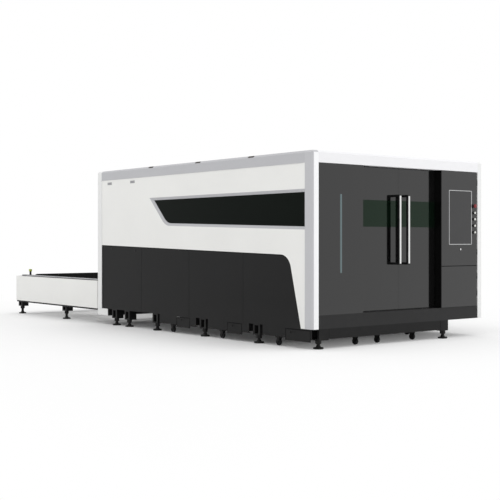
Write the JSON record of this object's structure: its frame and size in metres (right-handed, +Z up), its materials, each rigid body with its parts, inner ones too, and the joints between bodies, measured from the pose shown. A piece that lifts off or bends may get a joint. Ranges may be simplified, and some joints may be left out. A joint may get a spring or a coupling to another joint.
{
  "type": "fiber laser cutting machine",
  "caption": "Fully enclosed sheet laser cutter with sliding glazed doors, a bevelled side window, a control console, slag drawers and a pallet exchange table.",
  "frame": {"origin": "on the floor under the middle of the machine's bounding box", "axes": "+Z up, +Y along the machine from its doors to the exchange table, +X from the window side to the plain side"},
  "size_m": [3.0509, 7.804, 2.3259],
  "materials": {
    "white_paint": "satin white powder coat",
    "silver_paint": "satin silver paint",
    "dark_paint": "satin near-black powder coat",
    "gloss_dark": "high-gloss near-black panel",
    "plinth_paint": "satin dark grey",
    "machine_grey": "grey machine enamel",
    "tinted_glass": "dark laser-safe glazing",
    "door_glass": "dark green laser-safe glazing",
    "bare_steel": "machined or brushed steel",
    "black_steel": "blackened steel",
    "slat_steel": "hot-rolled steel slats and channels",
    "aluminium": "anodised aluminium",
    "black_plastic": "black polyamide",
    "wheel_plastic": "polyurethane tread",
    "screen": "touch screen behind a silver surround",
    "diffuser": "frosted light diffuser",
    "red_plastic": "red mushroom button",
    "button_plastic": "pale push-button cap",
    "lock_metal": "plated lock barrel"
  },
  "bodies": {
    "machine": {"main_beams": "machine_grey", "underframe": "machine_grey", "bed_tracks": "bare_steel", "bed_skirts": "dark_paint", "foot_brackets": "black_steel", "levelling_feet": "black_steel", "caster_forks": "black_steel", "corner_post_front_left": "silver_paint", "corner_post_front_right": "white_paint", "rear_corner_posts": "white_paint", "top_beam_front": "white_paint", "side_and_rear_beams": "silver_paint", "roof_panels": "white_paint", "left_upper_panel": "white_paint", "left_lower_panels": "dark_paint", "side_window_frame": "silver_paint", "side_window_glass": "tinted_glass", "panel_fittings": "silver_paint", "right_upper_panel": "white_paint", "right_lower_panels": "dark_paint", "rear_wall": "white_paint", "front_fixed_panel": "gloss_dark", "base_fascia": "plinth_paint", "light_strip": "diffuser", "door_tracks": "machine_grey", "control_console": "dark_paint", "electrical_modules": "black_plastic", "inner_partition": "machine_grey", "lift_columns": "bare_steel", "exchange_frame": "dark_paint", "exchange_skirts": "white_paint", "guard_posts": "black_plastic"},
    "left_door": {"door_leaf_left": "gloss_dark", "door_glass_left": "door_glass", "handle_left": "bare_steel"},
    "right_door": {"door_leaf_right": "gloss_dark", "door_glass_right": "door_glass", "handle_right": "bare_steel"},
    "upper_console_door": {"console_upper_door": "gloss_dark", "touch_screen": "screen"},
    "lower_console_door": {"console_lower_door": "gloss_dark"},
    "gantry": {"gantry": "aluminium"},
    "carriage": {"carriage": "white_paint"},
    "cutting_head": {"cutting_head": "bare_steel"},
    "deck": {"lift_deck": "machine_grey"},
    "inner_pallet": {"pallet_inner": "slat_steel"},
    "outer_pallet": {"pallet_outer": "slat_steel"},
    "emergency_stop": {"emergency_stop": "red_plastic"},
    "key_lock": {"key_lock": "lock_metal"},
    "push_button_1": {"push_button_1": "button_plastic"},
    "push_button_2": {"push_button_2": "button_plastic"},
    "push_button_3": {"push_button_3": "button_plastic"},
    "push_button_4": {"push_button_4": "button_plastic"},
    "slag_drawer_1": {"slag_drawer_1": "dark_paint"},
    "slag_drawer_2": {"slag_drawer_2": "dark_paint"},
    "slag_drawer_3": {"slag_drawer_3": "dark_paint"},
    "caster_wheels_1": {"caster_wheels_1": "wheel_plastic"},
    "caster_wheels_2": {"caster_wheels_2": "wheel_plastic"},
    "caster_wheels_3": {"caster_wheels_3": "wheel_plastic"},
    "caster_wheels_4": {"caster_wheels_4": "wheel_plastic"}
  },
  "joints": [
    {"name": "left_door_slide", "type": "slide", "parent": "machine", "child": "left_door", "axis": [-1, 0, 0], "range_m": [0, 0.5]},
    {"name": "right_door_slide", "type": "slide", "parent": "machine", "child": "right_door", "axis": [1, 0, 0], "range_m": [0, 0.5]},
    {"name": "upper_console_hinge", "type": "hinge", "parent": "machine", "child": "upper_console_door", "pos_m": [1.4255, -3.862, 1.562], "axis": [0, 0, 1], "range_deg": [0, 110]},
    {"name": "lower_console_hinge", "type": "hinge", "parent": "machine", "child": "lower_console_door", "pos_m": [1.4255, -3.862, 0.671], "axis": [0, 0, 1], "range_deg": [0, 110]},
    {"name": "gantry_travel", "type": "slide", "parent": "machine", "child": "gantry", "axis": [0, 1, 0], "range_m": [-0.3, 3.05]},
    {"name": "carriage_travel", "type": "slide", "parent": "gantry", "child": "carriage", "axis": [1, 0, 0], "range_m": [-0.76, 0.76]},
    {"name": "head_travel", "type": "slide", "parent": "carriage", "child": "cutting_head", "axis": [0, 0, -1], "range_m": [-0.03, 0.15]},
    {"name": "deck_lift", "type": "slide", "parent": "machine", "child": "deck", "axis": [0, 0, -1], "range_m": [-0.135, 0]},
    {"name": "inner_pallet_travel", "type": "slide", "parent": "deck", "child": "inner_pallet", "axis": [0, 1, 0], "range_m": [0, 3.55]},
    {"name": "outer_pallet_travel", "type": "slide", "parent": "deck", "child": "outer_pallet", "axis": [0, -1, 0], "range_m": [0, 3.55]},
    {"name": "emergency_stop_press", "type": "slide", "parent": "upper_console_door", "child": "emergency_stop", "axis": [0, 1, 0], "range_m": [0, 0.005], "stiffness_N_per_m": 1500},
    {"name": "push_button_1_press", "type": "slide", "parent": "upper_console_door", "child": "push_button_1", "axis": [0, 1, 0], "range_m": [0, 0.004], "stiffness_N_per_m": 1000},
    {"name": "push_button_2_press", "type": "slide", "parent": "upper_console_door", "child": "push_button_2", "axis": [0, 1, 0], "range_m": [0, 0.004], "stiffness_N_per_m": 1000},
    {"name": "push_button_3_press", "type": "slide", "parent": "upper_console_door", "child": "push_button_3", "axis": [0, 1, 0], "range_m": [0, 0.004], "stiffness_N_per_m": 1000},
    {"name": "push_button_4_press", "type": "slide", "parent": "upper_console_door", "child": "push_button_4", "axis": [0, 1, 0], "range_m": [0, 0.004], "stiffness_N_per_m": 1000},
    {"name": "key_turn", "type": "hinge", "parent": "upper_console_door", "child": "key_lock", "pos_m": [1.087, -3.862, 1.157], "axis": [0, -1, 0], "range_deg": [0, 90]},
    {"name": "slag_drawer_1_slide", "type": "slide", "parent": "machine", "child": "slag_drawer_1", "axis": [-1, 0, 0], "range_m": [0, 1.3]},
    {"name": "slag_drawer_2_slide", "type": "slide", "parent": "machine", "child": "slag_drawer_2", "axis": [-1, 0, 0], "range_m": [0, 1.3]},
    {"name": "slag_drawer_3_slide", "type": "slide", "parent": "machine", "child": "slag_drawer_3", "axis": [-1, 0, 0], "range_m": [0, 1.3]},
    {"name": "caster_wheels_1_spin", "type": "hinge", "parent": "machine", "child": "caster_wheels_1", "pos_m": [-0.325, -3.705, 0.045], "axis": [1, 0, 0], "continuous": true},
    {"name": "caster_wheels_2_spin", "type": "hinge", "parent": "machine", "child": "caster_wheels_2", "pos_m": [-0.325, -3.191, 0.045], "axis": [1, 0, 0], "continuous": true},
    {"name": "caster_wheels_3_spin", "type": "hinge", "parent": "machine", "child": "caster_wheels_3", "pos_m": [-0.325, -2.055, 0.045], "axis": [1, 0, 0], "continuous": true},
    {"name": "caster_wheels_4_spin", "type": "hinge", "parent": "machine", "child": "caster_wheels_4", "pos_m": [-0.325, -0.915, 0.045], "axis": [1, 0, 0], "continuous": true}
  ]
}
